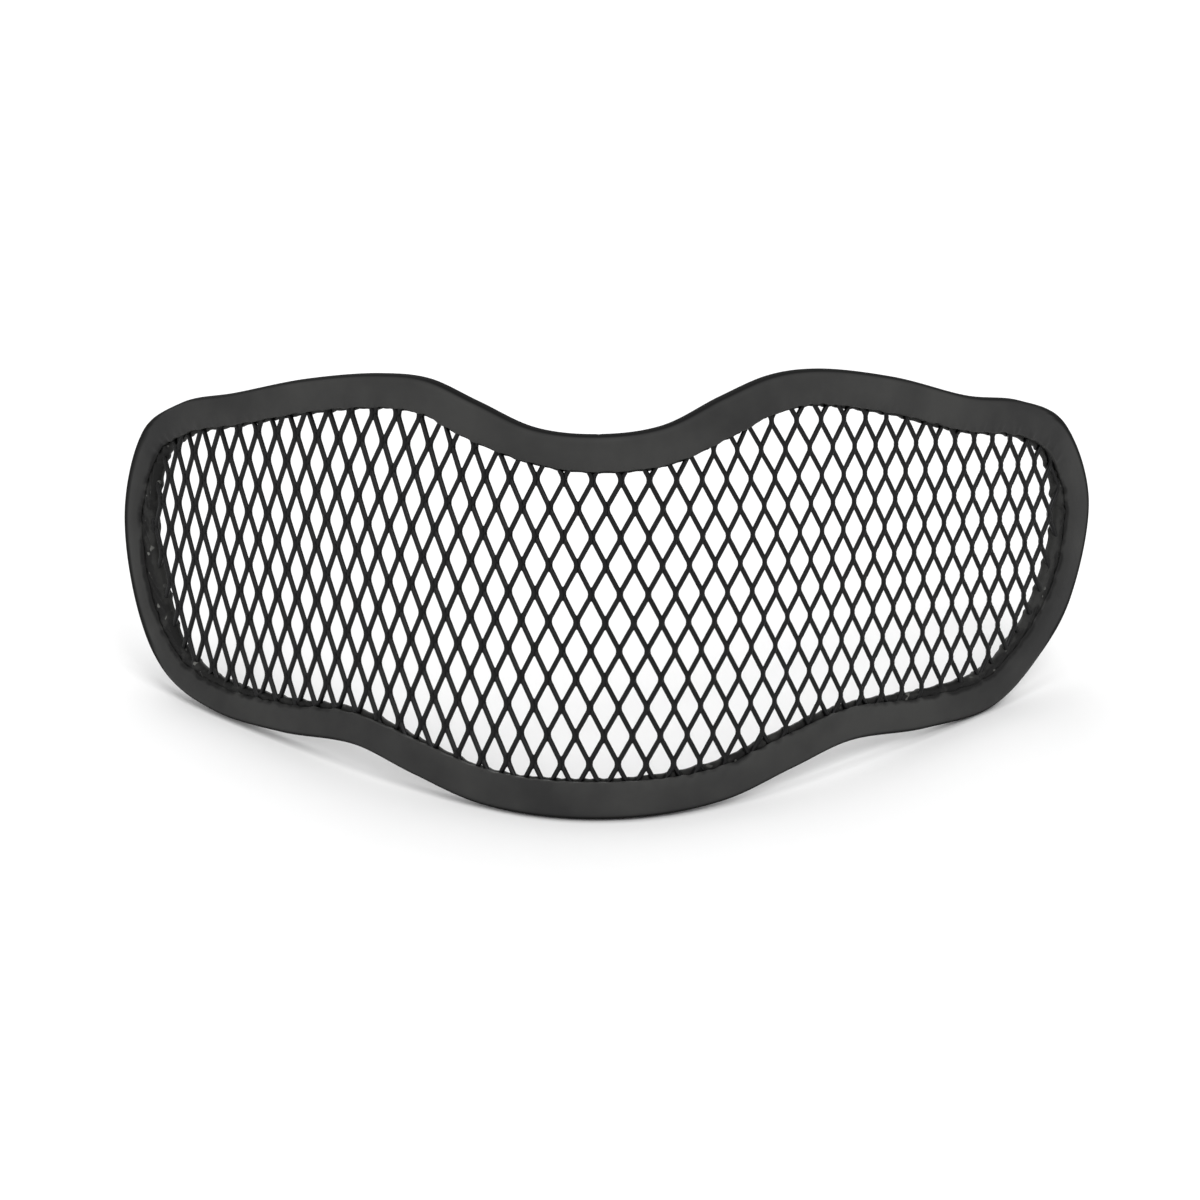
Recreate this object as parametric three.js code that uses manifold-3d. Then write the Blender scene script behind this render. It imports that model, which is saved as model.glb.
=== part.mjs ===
// Mesh lower-face guard for airsoft: one panel of open steel mesh, bent round the face, with a folded
// strip bound over its whole edge. Millimetres, +Z up, front towards -Y, origin on the surface it
// stands on, under the middle of its outer box. It stands as it does by itself: on the middle of its
// chin edge and the two low corners of its wings, leaning back.
//
// The guard is drawn flat first, as a sheet: "along" is measured on the sheet from the centre line
// towards the wearer's left cheek, "height" upwards from the chin, "out" from the sheet's middle
// towards the front. The sheet is then bent about an upright axis, and leant back until it rests.

import * as THREE from 'three';
import { mergeVertices } from 'three/addons/utils/BufferGeometryUtils.js';
import Module from 'manifold-3d';

// ---- Driving dimensions -------------------------------------------------------------------------

const PANEL_THICKNESS = 0.8; // steel mesh, over its raised strands
const CLEARANCE = 0.3; // left between the panel and the strip all round
const STRIP_WALL = 1.0; // leatherette strip
const FRONT_FLAP_REACH = 5.6; // how far the strip's front flap reaches in from the outer edge
const BACK_FLAP_REACH = 6.2;
const STRIP_STATIONS = 140; // sections along the strip's loop

const OPENING_PITCH = { across: 9, up: 18 }; // between openings of one row, and of one column
const STRAND_WIDTH = 1.3; // metal left between neighbouring openings
const RIM_REACH = 4.8; // the plain rim, hidden in the strip, reaches this far in from the outer edge
const SMALLEST_OPENING = 19; // mm2, a third of a whole one: less than this at the rim stays closed
const STATION_STEP = OPENING_PITCH.across / 2; // between the panel's bend lines

// Outer edge of the flat sheet, from the nose notch round to the chin: how far along the sheet each
// point lies from the centre line, and how high, on the right half and on the left half of the front
// view. It was cut by hand, so the halves differ a little, but it stands on equal feet.
const EDGE = [
  { at: 'nose notch', right: [0, 61.4], left: [0, 61.4] },
  { at: 'notch flank', right: [10, 62.6], left: [10, 62.4] },
  { at: 'notch rise', right: [20, 66.9], left: [20, 66.4] },
  { at: 'crest start', right: [29, 70], left: [29, 69.8] },
  { at: 'crest', right: [38, 70.7], left: [38, 70.4] },
  { at: 'cheek slope', right: [55, 68.7], left: [55, 69] },
  { at: 'wing dip', right: [72, 64.9], left: [72, 66.1] },
  { at: 'wing shoulder', right: [85, 63.5], left: [85, 64.1] },
  { at: 'upper corner', right: [96.3, 59.8], left: [95.5, 59] },
  { at: 'wing end', right: [104.3, 45], left: [102, 45] },
  { at: 'end slope', right: [99.2, 28.7], left: [99.2, 28.7] },
  { at: 'lower corner', right: [89.5, 18.3], left: [90.8, 16.7] },
  { at: 'wing foot', right: [78.2, 11.6], left: [78.2, 11.6] },
  { at: 'jaw line', right: [62, 9.6], left: [62, 9.6] },
  { at: 'jaw turn', right: [45, 9.3], left: [45, 9.1] },
  { at: 'chin flank', right: [33, 6], left: [33, 5.5] },
  { at: 'chin curve', right: [20, 1.9], left: [20, 1.6] },
  { at: 'chin', right: [0, 0], left: [0, 0] },
];

// Bend of the sheet seen from above, from the centre line outwards: the length of each arc along the
// sheet and the angle that it turns back through.
const BENDS = [
  { at: 'nose', length: 15, turn: 23 },
  { at: 'cheek', length: 27, turn: 14.5 },
  { at: 'wing', length: 30, turn: 2.5 },
  { at: 'tip', length: 32, turn: 11 },
];

// ---- The bent sheet -----------------------------------------------------------------------------

// A point of the flat sheet moved to its place on the bent one. Each arc of BENDS is followed at its
// own radius; the mirrored half has the sign of "along".
function bend(along, height, out) {
  const side = Math.sign(along) || 1;
  let left = Math.abs(along);
  let heading = 0;
  let x = 0;
  let y = 0;
  for (const { length, turn } of BENDS) {
    const run = Math.min(left, length);
    const curvature = THREE.MathUtils.degToRad(turn) / length;
    const next = heading + curvature * run;
    x += (Math.sin(next) - Math.sin(heading)) / curvature;
    y += (Math.cos(heading) - Math.cos(next)) / curvature;
    heading = next;
    left -= run;
  }
  x += Math.cos(heading) * left + Math.sin(heading) * out;
  y += Math.sin(heading) * left - Math.cos(heading) * out;
  return new THREE.Vector3(side * x, y, height);
}

// ---- The edge -----------------------------------------------------------------------------------

// Closed smooth curve through the points of EDGE, clockwise from the notch.
function edgeCurve() {
  const right = EDGE.map(({ right: [along, height] }) => new THREE.Vector3(along, height, 0));
  const left = EDGE.map(({ left: [along, height] }) => new THREE.Vector3(-along, height, 0));
  return new THREE.CatmullRomCurve3([...right, ...left.slice(1, -1).reverse()], true, 'centripetal');
}

// Evenly spaced points of the edge with the direction that leads straight into the sheet.
function edgeStations(count) {
  const curve = edgeCurve();
  curve.arcLengthDivisions = 20 * EDGE.length;
  return Array.from({ length: count }, (_, i) => {
    const point = curve.getPointAt(i / count);
    const tangent = curve.getTangentAt(i / count);
    return { point, inward: new THREE.Vector3(tangent.y, -tangent.x, 0) };
  });
}

// The edge moved into the sheet by "inset", as a polyline.
function insetEdge(inset) {
  return edgeStations(STRIP_STATIONS).map(({ point, inward }) =>
    point.clone().addScaledVector(inward, inset));
}

// Lowest and highest point of a closed polyline on the upright line at "along".
function heightsAt(polyline, along) {
  const crossings = [];
  polyline.forEach((a, i) => {
    const b = polyline[(i + 1) % polyline.length];
    if ((a.x - along) * (b.x - along) <= 0 && a.x !== b.x) {
      crossings.push(a.y + ((along - a.x) / (b.x - a.x)) * (b.y - a.y));
    }
  });
  return [Math.min(...crossings), Math.max(...crossings)];
}

// ---- Solids -------------------------------------------------------------------------------------

// Closed body through equal closed sections. Each section is a loop of corner points; the sections
// either join into a ring or end in flat caps.
function loft(sections, ring) {
  const corners = sections[0].length;
  const positions = sections.flat().flatMap((corner) => [corner.x, corner.y, corner.z]);
  const index = [];
  const spans = ring ? sections.length : sections.length - 1;
  for (let i = 0; i < spans; i += 1) {
    const here = i * corners;
    const there = ((i + 1) % sections.length) * corners;
    for (let j = 0; j < corners; j += 1) {
      const next = (j + 1) % corners;
      index.push(here + j, there + j, there + next, here + j, there + next, here + next);
    }
  }
  if (!ring) {
    const last = (sections.length - 1) * corners;
    for (let j = 1; j < corners - 1; j += 1) {
      index.push(0, j, j + 1, last, last + j + 1, last + j);
    }
  }
  const geometry = new THREE.BufferGeometry();
  geometry.setAttribute('position', new THREE.Float32BufferAttribute(positions, 3));
  geometry.setIndex(index);
  return geometry;
}

// The folded strip: one U-shaped section carried round the edge, its back towards the outer edge and
// its two flaps reaching in over the panel.
function stripGeometry() {
  const channel = PANEL_THICKNESS / 2 + CLEARANCE;
  const skin = channel + STRIP_WALL;
  const section = [
    { inset: FRONT_FLAP_REACH, out: skin },
    { inset: 1.1, out: skin },
    { inset: 0.35, out: 0.75 * skin },
    { inset: 0, out: 0.3 * skin },
    { inset: 0, out: -0.3 * skin },
    { inset: 0.35, out: -0.75 * skin },
    { inset: 1.1, out: -skin },
    { inset: BACK_FLAP_REACH, out: -skin },
    { inset: BACK_FLAP_REACH, out: -channel },
    { inset: STRIP_WALL, out: -channel },
    { inset: STRIP_WALL, out: channel },
    { inset: FRONT_FLAP_REACH, out: channel },
  ];
  const sections = edgeStations(STRIP_STATIONS).map(({ point, inward }) =>
    section.map(({ inset, out }) => {
      const place = point.clone().addScaledVector(inward, inset);
      return bend(place.x, place.y, out);
    }));
  return loft(sections, true);
}

// Bend lines of a slab whose ends lie at "from" and "to": a line at each step between them, and two
// close to each end, where the edge turns upright.
function bendLines(from, to) {
  const first = Math.ceil((from + 1.5) / STATION_STEP);
  const last = Math.floor((to - 1.5) / STATION_STEP);
  const steps = Array.from({ length: last - first + 1 }, (_, i) => (first + i) * STATION_STEP);
  return [from + 0.02, from + 0.5, ...steps, to - 0.5, to - 0.02];
}

// A slab of the bent sheet inside the edge moved in by "inset". It is built in upright strips between
// bend lines, so that each of its faces is flat.
function slabGeometry(inset, thickness) {
  const edge = insetEdge(inset);
  const reach = edge.map(({ x }) => x);
  const sections = bendLines(Math.min(...reach), Math.max(...reach)).map((along) => {
    const [low, high] = heightsAt(edge, along);
    return [[low, 1], [high, 1], [high, -1], [low, -1]].map(([height, face]) =>
      bend(along, height, (face * thickness) / 2));
  });
  return loft(sections, false);
}

// Cutter for one diamond opening: its four corners, in front of the sheet and behind it.
function openingGeometry(along, height) {
  const half = { across: OPENING_PITCH.across / 2, up: OPENING_PITCH.up / 2 };
  const sideDistance = (half.across * half.up) / Math.hypot(half.across, half.up);
  const share = 1 - STRAND_WIDTH / 2 / sideDistance;
  const corners = [[0, 1], [1, 0], [0, -1], [-1, 0]];
  const sections = [-1, 1].map((face) => corners.map(([across, up]) =>
    bend(along + across * half.across * share, height + up * half.up * share,
      face * PANEL_THICKNESS)));
  return loft(sections, false);
}

// ---- Cutting with manifold-3d -------------------------------------------------------------------

const wasm = await Module();
wasm.setup();

function toSolid(geometry) {
  const bare = mergeVertices(geometry, 1e-5);
  return new wasm.Manifold(new wasm.Mesh({
    numProp: 3,
    vertProperties: Float32Array.from(bare.attributes.position.array),
    triVerts: Uint32Array.from(bare.index.array),
  }));
}

function toGeometry(solid) {
  const { vertProperties, triVerts } = solid.getMesh();
  const geometry = new THREE.BufferGeometry();
  geometry.setAttribute('position', new THREE.BufferAttribute(vertProperties, 3));
  geometry.setIndex(new THREE.BufferAttribute(triVerts, 1));
  return geometry;
}

// The panel: a thin slab with a staggered lattice of diamond openings, which stop at its plain rim.
function panelGeometry() {
  const window = toSolid(slabGeometry(RIM_REACH, 3 * PANEL_THICKNESS));
  const middle = EDGE[0].right[1] / 2;
  const columns = Math.ceil(BENDS.reduce((sum, { length }) => sum + length, 0) / STATION_STEP);
  const rows = 4;
  let panel = toSolid(slabGeometry(STRIP_WALL + CLEARANCE + 0.2, PANEL_THICKNESS));
  for (let column = -columns; column <= columns; column += 1) {
    for (let row = -rows; row <= rows; row += 1) {
      if ((column + row) % 2 !== 0) continue;
      const along = column * STATION_STEP;
      const height = middle + row * (OPENING_PITCH.up / 2);
      const opening = toSolid(openingGeometry(along, height)).intersect(window);
      const area = opening.volume() / (2 * PANEL_THICKNESS);
      if (area > SMALLEST_OPENING) panel = panel.subtract(opening);
    }
  }
  return toGeometry(panel);
}

// ---- Resting place ------------------------------------------------------------------------------

// Lowest corner of a geometry once it leans back by "lean", among those that "chosen" accepts.
function lowest(geometry, lean, chosen) {
  const positions = geometry.attributes.position;
  let low = Infinity;
  for (let i = 0; i < positions.count; i += 1) {
    const height = positions.getZ(i) * Math.cos(lean) - positions.getY(i) * Math.sin(lean);
    if (chosen(Math.abs(positions.getX(i)))) low = Math.min(low, height);
  }
  return low;
}

// Lean at which the chin and both wing feet touch the surface together, found by halving.
function restingLean(geometry) {
  const nearChin = (distance) => distance < 25;
  const nearFeet = (distance) => distance > 45;
  let range = [0, Math.PI / 6];
  for (let step = 0; step < 40; step += 1) {
    const lean = (range[0] + range[1]) / 2;
    const feetAreHigher = lowest(geometry, lean, nearChin) < lowest(geometry, lean, nearFeet);
    range = feetAreHigher ? [lean, range[1]] : [range[0], lean];
  }
  return range[0];
}

// ---- Assembly -----------------------------------------------------------------------------------

const blackSteel = new THREE.MeshStandardMaterial({ color: 0x1c1c1d, roughness: 0.5, metalness: 0.6 });
const leatherette = new THREE.MeshStandardMaterial({ color: 0x3d3d3e, roughness: 0.8, metalness: 0 });

const panel = new THREE.Mesh(panelGeometry(), blackSteel);
panel.name = 'mesh_panel';

const binding = new THREE.Mesh(stripGeometry(), leatherette);
binding.name = 'edge_binding';

const leaning = new THREE.Group();
leaning.add(panel, binding);
leaning.rotation.x = -restingLean(binding.geometry);

const guard = new THREE.Group();
guard.add(leaning);
guard.updateMatrixWorld(true);
const box = new THREE.Box3().setFromObject(guard, true);
const middle = box.getCenter(new THREE.Vector3());
leaning.position.set(-middle.x, -middle.y, -box.min.z);
guard.updateMatrixWorld(true);

export default guard;
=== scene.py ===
"""Mesh lower-face guard for airsoft, standing by itself on a pale studio floor.

The guard is a panel of expanded steel, painted satin black, with a folded strip of leatherette
bound over its whole edge. Both are worked out on the flat sheet that the panel is cut from, in
millimetres: "along" from the centre line towards the right of the front view, "height" upwards from
the chin, "out" from the sheet's middle towards the front. The sheet is then bent about an upright
axis, leant back until it stands, and put into the frame in metres.
"""

import logging
import math
from dataclasses import dataclass

import bmesh
import bpy
import numpy as np
from mathutils import Matrix, Vector


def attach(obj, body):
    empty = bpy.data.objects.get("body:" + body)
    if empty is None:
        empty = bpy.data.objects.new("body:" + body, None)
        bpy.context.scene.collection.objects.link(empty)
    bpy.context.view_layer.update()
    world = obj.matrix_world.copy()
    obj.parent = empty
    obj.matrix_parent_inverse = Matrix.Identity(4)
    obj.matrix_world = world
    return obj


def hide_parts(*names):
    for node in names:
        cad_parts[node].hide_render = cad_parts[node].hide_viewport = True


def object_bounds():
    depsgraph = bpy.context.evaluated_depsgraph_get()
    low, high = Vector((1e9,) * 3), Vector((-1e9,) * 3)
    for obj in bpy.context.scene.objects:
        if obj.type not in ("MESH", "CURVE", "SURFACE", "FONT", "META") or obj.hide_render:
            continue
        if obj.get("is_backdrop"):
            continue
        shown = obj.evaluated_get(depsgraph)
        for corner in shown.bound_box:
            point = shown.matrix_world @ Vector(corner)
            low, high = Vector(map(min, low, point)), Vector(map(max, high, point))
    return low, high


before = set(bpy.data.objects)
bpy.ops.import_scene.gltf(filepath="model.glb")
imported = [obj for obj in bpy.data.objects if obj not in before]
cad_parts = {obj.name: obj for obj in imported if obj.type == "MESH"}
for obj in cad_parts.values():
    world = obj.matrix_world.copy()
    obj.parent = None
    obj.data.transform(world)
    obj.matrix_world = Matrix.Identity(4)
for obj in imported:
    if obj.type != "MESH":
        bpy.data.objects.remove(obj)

CAD_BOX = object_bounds()
MM = 0.001
LOG = logging.getLogger("guard")

Colour = tuple[float, float, float, float]
Socket = bpy.types.NodeSocket

MIX_FACTOR, MIX_A, MIX_B, MIX_RESULT = 0, 6, 7, 2  # a colour Mix node's sockets


# ---- Small tools --------------------------------------------------------------------------------


def linear(code: str) -> Colour:
    """Turn an sRGB hex colour into linear light.

    Each channel c becomes c / 12.92 up to 0.04045, and ((c + 0.055) / 1.055) ** 2.4 above it.

    Args:
        code: The colour as "#RRGGBB".

    Returns:
        Linear red, green and blue, and an alpha of 1.
    """
    channels = [int(code[start:start + 2], 16) / 255 for start in (1, 3, 5)]
    light = [c / 12.92 if c <= 0.04045 else ((c + 0.055) / 1.055) ** 2.4 for c in channels]
    return (*light, 1.0)


def ease(value: np.ndarray, span: tuple[float, float] = (0.0, 1.0)) -> np.ndarray:
    """Smooth step 3 v^2 - 2 v^3, where v goes from 0 to 1 over a span and is held beyond it.

    Args:
        value: The values.
        span: The values at which v is 0 and 1, in either order.

    Returns:
        The step at each value, from 0 to 1.
    """
    start, end = span
    held = np.clip((value - start) / (end - start), 0.0, 1.0)
    return held * held * (3.0 - 2.0 * held)


def between(first: float | np.ndarray, second: float | np.ndarray, share: np.ndarray) -> np.ndarray:
    """The value that lies a share of the way from the first to the second."""
    return first + (second - first) * share


def bell(value: np.ndarray, spread: float) -> np.ndarray:
    """Bell curve exp(-(v / spread)^2), 1 at v = 0."""
    return np.exp(-((value / spread) ** 2))


@dataclass(frozen=True)
class Wave:
    """Irregular wave round a closed loop: its height, shortest and longest wave in mm, and its seed."""

    height: float
    shortest: float
    longest: float
    seed: int
    sines: int = 12

    def at(self, place: np.ndarray, loop: float) -> np.ndarray:
        """The wave at places of the loop, mostly within its height above and below 0.

        It is a sum of sines, each with a whole number of cycles round the loop and a phase of its
        own, divided by the square root of half their number.

        Args:
            place: Distances along the loop, in mm.
            loop: Length of the loop, in mm.

        Returns:
            The wave at each place, in mm.
        """
        chance = np.random.default_rng(self.seed)
        cycles = np.round(loop / chance.uniform(self.shortest, self.longest, self.sines))
        phases = chance.uniform(0.0, 2.0 * np.pi, self.sines)
        turns = 2.0 * np.pi * place[..., None] / loop
        return self.height * np.sin(turns * cycles + phases).sum(-1) / math.sqrt(self.sines / 2)


def add_node(
    tree: bpy.types.NodeTree,
    kind: str,
    inputs: dict | None = None,
    links: dict | None = None,
    **settings: object,
) -> bpy.types.Node:
    """Add a node with its settings and links.

    Args:
        tree: The node tree that it goes into.
        kind: The node's type name.
        inputs: Values of its sockets, by name or number.
        links: Output sockets that lead into its sockets, by name or number.
        settings: The node's own properties.

    Returns:
        The new node.
    """
    node = tree.nodes.new(kind)
    for name, value in settings.items():
        setattr(node, name, value)
    for socket, value in (inputs or {}).items():
        node.inputs[socket].default_value = value
    for socket, output in (links or {}).items():
        tree.links.new(output, node.inputs[socket])
    return node


def new_material(name: str, values: dict[str, float | Colour]) -> bpy.types.Material:
    """Make a material with values on its shader's own sockets.

    Args:
        name: The material's name.
        values: The sockets' values, by name.

    Returns:
        The material.
    """
    material = bpy.data.materials.new(name)
    material.use_nodes = True
    shader = material.node_tree.nodes["Principled BSDF"]
    for socket, value in values.items():
        shader.inputs[socket].default_value = value
    return material


def new_object(name: str, points: np.ndarray, faces: list) -> bpy.types.Object:
    """Make a smooth-shaded mesh object at the origin.

    Args:
        name: The object's name.
        points: (n, 3) places in metres.
        faces: Vertex numbers of each face.

    Returns:
        The linked object.
    """
    mesh = bpy.data.meshes.new(name)
    mesh.from_pydata(points.tolist(), [], faces)
    mesh.polygons.foreach_set("use_smooth", np.ones(len(mesh.polygons), bool))
    mesh.update()
    piece = bpy.data.objects.new(name, mesh)
    bpy.context.scene.collection.objects.link(piece)
    return piece


def close_up(mesh: bpy.types.Mesh, distance: float) -> None:
    """Drop unused points, join close ones, and point the faces outwards.

    Args:
        mesh: The mesh that is closed up.
        distance: Points nearer to each other than this are joined, in metres.
    """
    shell = bmesh.new()
    shell.from_mesh(mesh)
    unused = [point for point in shell.verts if not point.link_faces]
    bmesh.ops.delete(shell, geom=unused, context="VERTS")
    bmesh.ops.remove_doubles(shell, verts=shell.verts, dist=distance)
    bmesh.ops.recalc_face_normals(shell, faces=shell.faces)
    shell.to_mesh(mesh)
    shell.free()


# ---- The sheet and its stance -------------------------------------------------------------------


@dataclass(frozen=True)
class EdgePoint:
    """Named point of the outer edge: (along, height) in mm on the right and on the left half.

    "front" and "back" are how much further than usual the hand-cut strip's front and back flap reach
    in there, on the right and on the left half.
    """

    name: str
    right: tuple[float, float]
    left: tuple[float, float]
    front: tuple[float, float]
    back: tuple[float, float]


@dataclass(frozen=True)
class EdgeStations:
    """Even stations along the edge of a length, in mm.

    Each has its distance travelled, its place, its direction into the sheet, and how much further
    than usual the front and the back flap reach in there.
    """

    length: float
    travelled: np.ndarray
    places: np.ndarray
    inward: np.ndarray
    front: np.ndarray
    back: np.ndarray

    def by_half(self, pair: tuple[float, float]) -> np.ndarray:
        """(stations, 1) first value of a pair on the right half, and its second on the left half."""
        return np.where(self.places[:, :1] > 0, *pair)


@dataclass(frozen=True)
class Arc:
    """Stretch of the bend seen from above: its length in mm and the degrees that it turns."""

    name: str
    length: float
    turn: float


@dataclass
class GuardSheet:
    """The flat sheet, its hand-cut outer edge, and the way it is bent round a face."""

    edge: tuple[EdgePoint, ...] = (
        EdgePoint("nose notch", (0, 61.4), (0, 61.4), (0.2, 0.2), (0.2, 0.2)),
        EdgePoint("notch flank", (10, 62.6), (10, 62.4), (0.45, -0.2), (0.45, -0.2)),
        EdgePoint("notch rise", (20, 66.9), (20, 66.4), (0.85, 0.45), (0.85, 0.45)),
        EdgePoint("crest start", (29, 70), (29, 69.8), (0.45, 0.1), (0.45, 0.1)),
        EdgePoint("crest", (38, 70.7), (38, 70.4), (0.0, -0.25), (0.0, -0.25)),
        EdgePoint("cheek slope", (55, 68.7), (55, 69), (0.25, -0.2), (0.25, -0.2)),
        EdgePoint("wing dip", (72, 64.9), (72, 66.1), (0.2, -0.35), (0.2, -0.35)),
        EdgePoint("wing shoulder", (85, 63.5), (85, 64.1), (0.2, -0.3), (0.2, -0.2)),
        EdgePoint("upper corner", (96.9, 59.4), (95.5, 59), (1.1, -0.15), (1.3, 0.7)),
        EdgePoint("wing end", (104.9, 45.7), (102, 45), (1.6, -0.6), (3.0, 1.9)),
        EdgePoint("end slope", (99.5, 28.5), (99.2, 28.7), (0.7, -0.8), (2.5, 2.1)),
        EdgePoint("lower corner", (89.5, 18.3), (90.8, 16.7), (0.1, -0.7), (1.2, 0.8)),
        EdgePoint("wing foot", (78.2, 11.6), (78.2, 11.6), (-0.2, -0.9), (0.9, 0.0)),
        EdgePoint("jaw line", (62, 9.6), (62, 9.6), (-0.3, -0.7), (0.5, -0.1)),
        EdgePoint("jaw turn", (45, 9.3), (45, 9.1), (-0.2, -0.4), (0.1, -0.1)),
        EdgePoint("chin flank", (33, 6), (33, 5.5), (0.0, 0.0), (0.55, -0.2)),
        EdgePoint("chin curve", (20, 1.9), (20, 1.6), (0.0, 0.2), (0.5, -0.2)),
        EdgePoint("chin", (0, 0), (0, 0), (0.35, 0.35), (0.35, 0.35)),
    )
    arcs: tuple[Arc, ...] = (
        Arc("nose", 15, 23),
        Arc("cheek", 27, 14.5),
        Arc("wing", 30, 2.5),
        Arc("tip", 32, 11),
    )
    curve_steps: int = 60  # between two points of the edge
    outline_stations: int = 400  # of the coarser edge that tells what is inside

    def edge_curve(self) -> np.ndarray:
        """Closed smooth curve through the edge's points, clockwise from the notch.

        Between b and c, with a before and d after, it is the cubic whose slopes come from the
        square roots of the distances: m = (b - a) / h1 - (c - a) / (h1 + h2) + (c - b) / h2.

        Returns:
            (n, 2) places on the flat sheet.
        """
        right = [point.right for point in self.edge]
        left = [(-point.left[0], point.left[1]) for point in self.edge[-2:0:-1]]
        b = np.array(right + left, float)
        a, c, d = np.roll(b, 1, 0), np.roll(b, -1, 0), np.roll(b, -2, 0)
        h1, h2, h3 = (np.linalg.norm(q - p, axis=1)[:, None] ** 0.5 for p, q in ((a, b), (b, c), (c, d)))
        leave = ((b - a) / h1 - (c - a) / (h1 + h2) + (c - b) / h2) * h2
        arrive = ((c - b) / h2 - (d - b) / (h2 + h3) + (d - c) / h3) * h2
        t = np.linspace(0.0, 1.0, self.curve_steps, endpoint=False)[:, None, None]
        square = -3 * b + 3 * c - 2 * leave - arrive
        cube = 2 * b - 2 * c + leave + arrive
        curve = b + leave * t + square * t**2 + cube * t**3
        return curve.transpose(1, 0, 2).reshape(-1, 2)

    def edge_stations(self, count: int) -> EdgeStations:
        """Even stations along the edge, with the flaps' further reach eased between named points.

        Args:
            count: Number of stations.

        Returns:
            The stations.
        """
        curve = self.edge_curve()
        closed = np.vstack([curve, curve[:1]])
        travelled = np.append(0.0, np.cumsum(np.linalg.norm(np.diff(closed, axis=0), axis=1)))
        length = float(travelled[-1])
        wanted = np.linspace(0.0, length, count, endpoint=False)
        places = np.stack([np.interp(wanted, travelled, closed[:, axis]) for axis in (0, 1)], axis=1)
        ahead = np.roll(places, -2, 0) - np.roll(places, 2, 0)  # over two stations on each side
        ahead /= np.linalg.norm(ahead, axis=1)[:, None]
        inward = np.stack([ahead[:, 1], -ahead[:, 0]], axis=1)

        right = [(point.front[0], point.back[0]) for point in self.edge]
        left = [(point.front[1], point.back[1]) for point in self.edge[-2:0:-1]]
        reach = np.array(right + left)[:, :, None]
        blend = ease(np.linspace(0.0, 1.0, self.curve_steps, endpoint=False))
        further = between(reach, np.roll(reach, -1, 0), blend)
        front, back = (
            np.interp(wanted, travelled[:-1], further[:, flap].ravel(), period=length) for flap in (0, 1)
        )
        return EdgeStations(length, wanted, places, inward, front, back)

    def contains(self, places: np.ndarray, inset: float) -> np.ndarray:
        """Whether places lie inside the edge moved in by an inset.

        A place is inside where a line straight up from it crosses the edge an odd number of times.

        Args:
            places: (..., 2) places on the flat sheet.
            inset: How far the edge is moved in, in mm.

        Returns:
            One truth value for each place.
        """
        stations = self.edge_stations(self.outline_stations)
        start = stations.places + inset * stations.inward
        end = np.roll(start, -1, 0)
        along, height = places[..., 0, None], places[..., 1, None]
        spans = (start[:, 0] > along) != (end[:, 0] > along)
        run = np.where(start[:, 0] == end[:, 0], 1.0, end[:, 0] - start[:, 0])
        crossing = start[:, 1] + (along - start[:, 0]) / run * (end[:, 1] - start[:, 1])
        return (spans & (crossing > height)).sum(-1) % 2 == 1

    def bent(self, along: np.ndarray, height: np.ndarray, out: np.ndarray) -> np.ndarray:
        """Move places of the flat sheet to the bent one, standing upright.

        Each arc of length L and turn T is followed at its own curvature T / L:
        x gains (sin(end) - sin(start)) / curvature and y gains (cos(start) - cos(end)) / curvature.
        "out" is added square to the sheet: (sin(heading), -cos(heading)).

        Args:
            along: Distances along the sheet, of either sign.
            height: Heights.
            out: Distances in front of the sheet's middle.

        Returns:
            (..., 3) upright places in mm, with the front towards -y.
        """
        along, height, out = np.broadcast_arrays(along, height, out)
        left = np.abs(along)
        heading, x, y = np.zeros(left.shape), np.zeros(left.shape), np.zeros(left.shape)
        for arc in self.arcs:
            run = np.minimum(left, arc.length)
            curvature = math.radians(arc.turn) / arc.length
            turned = heading + curvature * run
            x += (np.sin(turned) - np.sin(heading)) / curvature
            y += (np.cos(heading) - np.cos(turned)) / curvature
            heading, left = turned, left - run
        x += np.cos(heading) * left + np.sin(heading) * out
        y += np.sin(heading) * left - np.cos(heading) * out
        return np.stack([np.where(along < 0, -x, x), y, height], axis=-1)


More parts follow.
